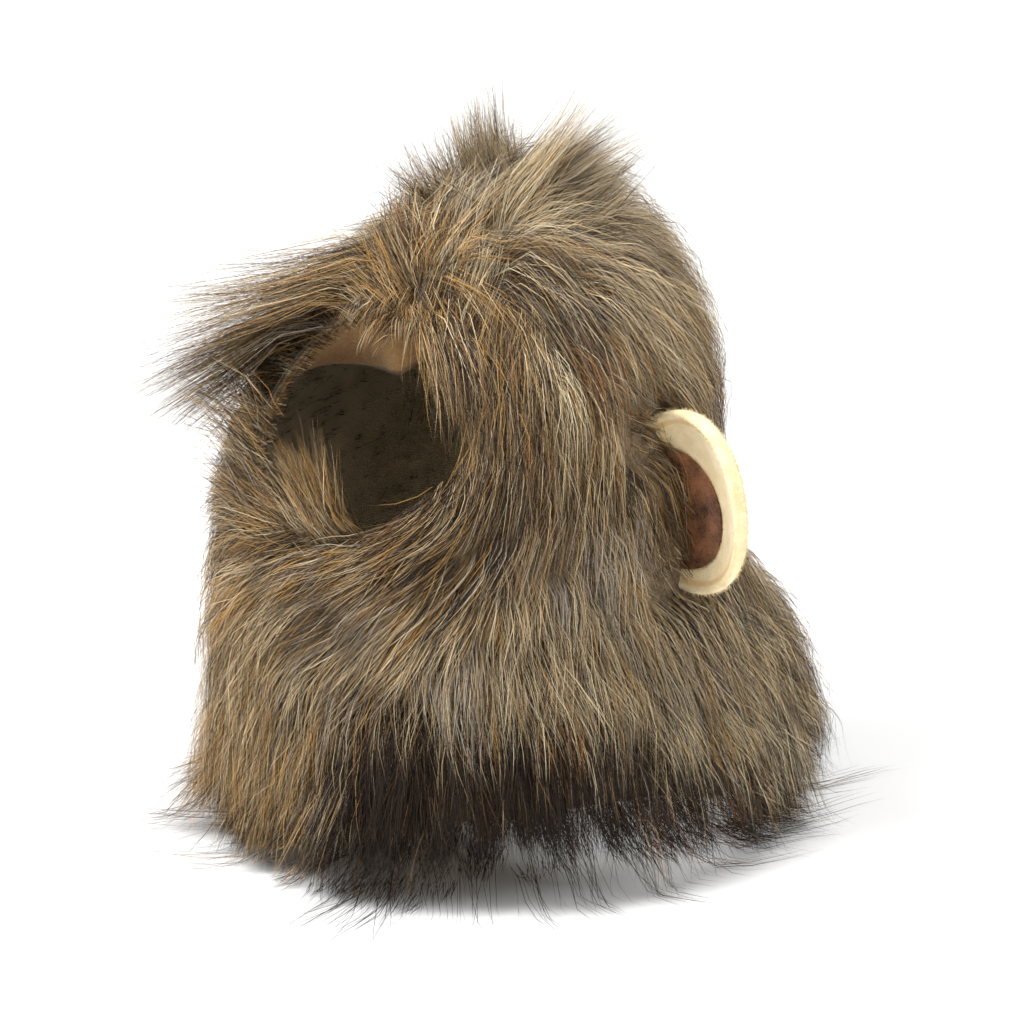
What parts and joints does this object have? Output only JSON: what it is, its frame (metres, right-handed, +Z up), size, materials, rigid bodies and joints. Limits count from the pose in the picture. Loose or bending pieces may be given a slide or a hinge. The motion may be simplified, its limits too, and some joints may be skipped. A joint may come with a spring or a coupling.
{
  "type": "pet lion mane wig",
  "caption": "Long faux fur hood that a medium or large dog wears as a lion's mane, with a tilted face opening, a bib under the chin and two round plush ears",
  "frame": {"origin": "middle of the outline in X and Y, on the surface that the hem stands on", "axes": "-Y is the way the wearer faces, +X the wearer's left, +Z up towards the crown"},
  "size_m": [0.264, 0.3162, 0.3264],
  "materials": {
    "knit_backing": "matte knit",
    "facing_cloth": "matte short nap",
    "long_fur": "long soft pile with dark tips",
    "bib_fur": "long soft pile with dark tips",
    "cream_plush": "short plush",
    "brown_plush": "short plush"
  },
  "bodies": {
    "root": {"hood_cloth": "knit_backing", "face_facing": "facing_cloth", "fur_left": "long_fur", "fur_right": "long_fur", "fur_bib": "bib_fur", "ear_left": "cream_plush", "ear_left_patch": "brown_plush", "ear_right": "cream_plush", "ear_right_patch": "brown_plush"}
  },
  "joints": []
}
